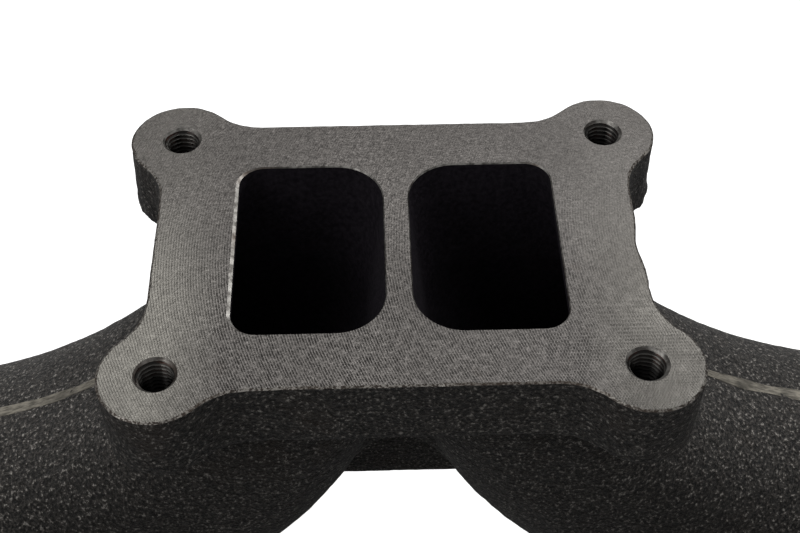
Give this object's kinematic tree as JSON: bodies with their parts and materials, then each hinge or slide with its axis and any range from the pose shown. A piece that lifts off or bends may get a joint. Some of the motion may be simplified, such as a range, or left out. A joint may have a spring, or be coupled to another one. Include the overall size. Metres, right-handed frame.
{
  "type": "exhaust manifold",
  "caption": "Three-piece cast-iron exhaust manifold with a divided turbocharger flange, slip joints and bolted head ports.",
  "frame": {"origin": "middle of the milled turbocharger face, on the divider between its two openings", "axes": "+Z out of the turbocharger face, +X along the log towards cylinder 6, -Y towards the cylinder head"},
  "size_m": [0.949, 0.1798, 0.1875],
  "materials": {
    "cast_iron": "rough sand-cast dark grey iron, with milled faces in lighter grey",
    "ring_iron": "ground, slightly oily",
    "gasket_steel": "rolled stainless sheet",
    "bolt_steel": "dark phosphate",
    "sleeve_steel": "turned steel"
  },
  "bodies": {
    "centre": {"centre_section": "cast_iron", "port_3_gasket": "gasket_steel", "port_3_upper_bolt": "bolt_steel", "port_3_upper_sleeve": "sleeve_steel", "port_3_lower_bolt": "bolt_steel", "port_3_lower_sleeve": "sleeve_steel", "port_4_gasket": "gasket_steel", "port_4_upper_bolt": "bolt_steel", "port_4_upper_sleeve": "sleeve_steel", "port_4_lower_bolt": "bolt_steel", "port_4_lower_sleeve": "sleeve_steel"},
    "front_seal_rings": {"front_seal_ring_inner": "ring_iron", "front_seal_ring_outer": "ring_iron"},
    "front_end": {"front_section": "cast_iron", "port_1_gasket": "gasket_steel", "port_1_upper_bolt": "bolt_steel", "port_1_upper_sleeve": "sleeve_steel", "port_1_lower_bolt": "bolt_steel", "port_1_lower_sleeve": "sleeve_steel", "port_2_gasket": "gasket_steel", "port_2_upper_bolt": "bolt_steel", "port_2_upper_sleeve": "sleeve_steel", "port_2_lower_bolt": "bolt_steel", "port_2_lower_sleeve": "sleeve_steel"},
    "rear_seal_rings": {"rear_seal_ring_inner": "ring_iron", "rear_seal_ring_outer": "ring_iron"},
    "rear_end": {"rear_section": "cast_iron", "port_5_gasket": "gasket_steel", "port_5_upper_bolt": "bolt_steel", "port_5_upper_sleeve": "sleeve_steel", "port_5_lower_bolt": "bolt_steel", "port_5_lower_sleeve": "sleeve_steel", "port_6_gasket": "gasket_steel", "port_6_upper_bolt": "bolt_steel", "port_6_upper_sleeve": "sleeve_steel", "port_6_lower_bolt": "bolt_steel", "port_6_lower_sleeve": "sleeve_steel"}
  },
  "joints": [
    {"name": "front_slip", "type": "slide", "parent": "centre", "child": "front_seal_rings", "axis": [-1, 0, 0], "range_m": [-0.0035, 0.006]},
    {"name": "front_swivel", "type": "hinge", "parent": "front_seal_rings", "child": "front_end", "pos_m": [-0.1852, 0, -0.12], "axis": [-1, 0, 0], "range_deg": [-10, 10]},
    {"name": "rear_slip", "type": "slide", "parent": "centre", "child": "rear_seal_rings", "axis": [1, 0, 0], "range_m": [-0.0035, 0.006]},
    {"name": "rear_swivel", "type": "hinge", "parent": "rear_seal_rings", "child": "rear_end", "pos_m": [0.1852, 0, -0.12], "axis": [1, 0, 0], "range_deg": [-10, 10]}
  ]
}
